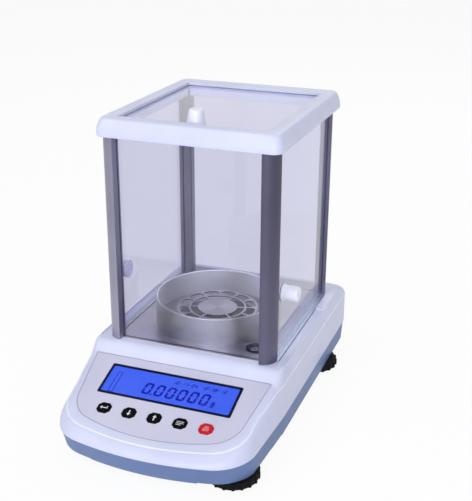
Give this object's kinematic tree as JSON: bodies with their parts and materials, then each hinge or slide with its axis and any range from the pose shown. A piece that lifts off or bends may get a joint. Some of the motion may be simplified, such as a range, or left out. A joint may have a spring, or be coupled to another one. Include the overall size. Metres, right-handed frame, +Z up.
{
  "type": "semi-micro balance",
  "caption": "Laboratory balance with a glass draught shield, three sliding doors, a slotted pan inside a steel wind ring, a sloping control panel and levelling feet",
  "frame": {"origin": "on the bench, below the middle of the housing", "axes": "X to the right, Y from the control panel to the back, Z up"},
  "size_m": [0.2382, 0.3806, 0.342],
  "materials": {
    "white_plastic": "fine-grained moulded plastic, lavender white",
    "blue_plastic": "fine-grained moulded plastic, grey blue",
    "overlay_film": "matt printed film",
    "deck_steel": "brushed",
    "screw_steel": "bright zinc",
    "column_aluminium": "satin anodised",
    "track_aluminium": "satin anodised",
    "cell_aluminium": "machined",
    "spring_brass": "rolled sheet",
    "coil_winding": "wound wire",
    "magnet_iron": "machined",
    "shield_glass": "polished, clear",
    "knob_plastic": "smooth white",
    "disc_plastic": "smooth",
    "level_glass": "clear",
    "black_plastic": "fine-grained",
    "bezel_plastic": "smooth dark blue",
    "display_glass": "clear",
    "lcd": "lit blue display",
    "board": "solder mask",
    "key_black": "matt",
    "key_red": "matt",
    "wheel_plastic": "fine-grained black",
    "pad_rubber": "matt"
  },
  "bodies": {
    "housing": {"lower_shell": "blue_plastic", "upper_shell": "white_plastic", "housing_screws": "screw_steel", "deck_plate": "deck_steel", "left_door_track": "track_aluminium", "right_door_track": "track_aluminium", "keypad_overlay": "overlay_film", "display_bezel": "bezel_plastic", "display_window": "display_glass", "lcd_module": "lcd", "key_board": "board", "main_board": "board", "power_inlet": "black_plastic", "data_port": "black_plastic", "level_cup": "black_plastic", "level_vial": "level_glass", "front_left_column": "column_aluminium", "front_right_column": "column_aluminium", "rear_left_column": "column_aluminium", "rear_right_column": "column_aluminium", "column_screws": "screw_steel", "top_frame": "white_plastic", "front_glass": "shield_glass", "rear_glass": "shield_glass", "floor_plate": "deck_steel", "cell_frame": "cell_aluminium", "upper_guide": "spring_brass", "lower_guide": "spring_brass", "lever_pin": "screw_steel", "magnet_pot": "magnet_iron", "foot_nuts": "spring_brass"},
    "left_sliding_door": {"left_door": "shield_glass", "left_door_knob": "knob_plastic", "left_knob_disc": "disc_plastic"},
    "right_sliding_door": {"right_door": "shield_glass", "right_door_knob": "knob_plastic", "right_knob_disc": "disc_plastic"},
    "top_sliding_door": {"top_door": "shield_glass", "top_door_knob": "knob_plastic", "top_knob_disc": "disc_plastic"},
    "load_hanger": {"cell_hanger": "cell_aluminium", "pan_carrier": "cell_aluminium"},
    "balance_lever": {"cell_lever": "cell_aluminium", "cell_coil": "coil_winding"},
    "pan": {"weighing_pan": "deck_steel"},
    "shield_ring": {"wind_ring": "deck_steel"},
    "enter_button": {"enter_key": "key_black"},
    "down_button": {"down_key": "key_black"},
    "up_button": {"up_key": "key_black"},
    "menu_button": {"menu_key": "key_black"},
    "power_button": {"power_key": "key_red"},
    "front_left_foot": {"front_left_pad": "pad_rubber"},
    "front_left_levelling_wheel": {"front_left_wheel": "wheel_plastic"},
    "front_right_foot": {"front_right_pad": "pad_rubber"},
    "front_right_levelling_wheel": {"front_right_wheel": "wheel_plastic"},
    "rear_left_foot": {"rear_left_pad": "pad_rubber"},
    "rear_left_levelling_wheel": {"rear_left_wheel": "wheel_plastic"},
    "rear_right_foot": {"rear_right_pad": "pad_rubber"},
    "rear_right_levelling_wheel": {"rear_right_wheel": "wheel_plastic"}
  },
  "joints": [
    {"name": "left_door_slide", "type": "slide", "parent": "housing", "child": "left_sliding_door", "axis": [0, 1, 0], "range_m": [0, 0.145]},
    {"name": "right_door_slide", "type": "slide", "parent": "housing", "child": "right_sliding_door", "axis": [0, 1, 0], "range_m": [0, 0.145]},
    {"name": "top_door_slide", "type": "slide", "parent": "housing", "child": "top_sliding_door", "axis": [0, 1, 0], "range_m": [0, 0.155]},
    {"name": "hanger_drop", "type": "slide", "parent": "housing", "child": "load_hanger", "axis": [0, 0, -1], "range_m": [0, 0.0005], "stiffness_N_per_m": 8000, "springref_m": -0.0004},
    {"name": "lever_tilt", "type": "hinge", "parent": "housing", "child": "balance_lever", "pos_m": [0, 0.0899, 0.06], "axis": [1, 0, 0], "range_deg": [0, 0.6]},
    {"name": "pan_lift", "type": "slide", "parent": "load_hanger", "child": "pan", "axis": [0, 0, 1], "range_m": [0, 0.08]},
    {"name": "ring_lift", "type": "slide", "parent": "housing", "child": "shield_ring", "axis": [0, 0, 1], "range_m": [0, 0.09]},
    {"name": "enter_press", "type": "slide", "parent": "housing", "child": "enter_button", "axis": [0, 0.2974, -0.9548], "range_m": [0, 0.0005], "stiffness_N_per_m": 800, "springref_m": -0.0005},
    {"name": "down_press", "type": "slide", "parent": "housing", "child": "down_button", "axis": [0, 0.2974, -0.9548], "range_m": [0, 0.0005], "stiffness_N_per_m": 800, "springref_m": -0.0005},
    {"name": "up_press", "type": "slide", "parent": "housing", "child": "up_button", "axis": [0, 0.2974, -0.9548], "range_m": [0, 0.0005], "stiffness_N_per_m": 800, "springref_m": -0.0005},
    {"name": "menu_press", "type": "slide", "parent": "housing", "child": "menu_button", "axis": [0, 0.2974, -0.9548], "range_m": [0, 0.0005], "stiffness_N_per_m": 800, "springref_m": -0.0005},
    {"name": "power_press", "type": "slide", "parent": "housing", "child": "power_button", "axis": [0, 0.2974, -0.9548], "range_m": [0, 0.0005], "stiffness_N_per_m": 800, "springref_m": -0.0005},
    {"name": "front_left_level", "type": "slide", "parent": "housing", "child": "front_left_foot", "axis": [0, 0, -1], "range_m": [0, 0.00375]},
    {"name": "front_left_turn", "type": "hinge", "parent": "front_left_foot", "child": "front_left_levelling_wheel", "pos_m": [-0.052, -0.13, 0.0063], "axis": [0, 0, -1], "range_deg": [0, 1080]},
    {"name": "front_right_level", "type": "slide", "parent": "housing", "child": "front_right_foot", "axis": [0, 0, -1], "range_m": [0, 0.00375]},
    {"name": "front_right_turn", "type": "hinge", "parent": "front_right_foot", "child": "front_right_levelling_wheel", "pos_m": [0.0824, -0.1398, 0.0063], "axis": [0, 0, -1], "range_deg": [0, 1080]},
    {"name": "rear_left_level", "type": "slide", "parent": "housing", "child": "rear_left_foot", "axis": [0, 0, -1], "range_m": [0, 0.00375]},
    {"name": "rear_left_turn", "type": "hinge", "parent": "rear_left_foot", "child": "rear_left_levelling_wheel", "pos_m": [-0.092, 0.1162, 0.0063], "axis": [0, 0, -1], "range_deg": [0, 1080]},
    {"name": "rear_right_level", "type": "slide", "parent": "housing", "child": "rear_right_foot", "axis": [0, 0, -1], "range_m": [0, 0.00375]},
    {"name": "rear_right_turn", "type": "hinge", "parent": "rear_right_foot", "child": "rear_right_levelling_wheel", "pos_m": [0.092, 0.1162, 0.0063], "axis": [0, 0, -1], "range_deg": [0, 1080]}
  ],
  "couplings": [
    {"joint": "lever_tilt", "follows": "hanger_drop", "rad_per_m": 18.868},
    {"joint": "front_left_turn", "follows": "front_left_level", "rad_per_m": 5026.5},
    {"joint": "front_right_turn", "follows": "front_right_level", "rad_per_m": 5026.5},
    {"joint": "rear_left_turn", "follows": "rear_left_level", "rad_per_m": 5026.5},
    {"joint": "rear_right_turn", "follows": "rear_right_level", "rad_per_m": 5026.5}
  ]
}
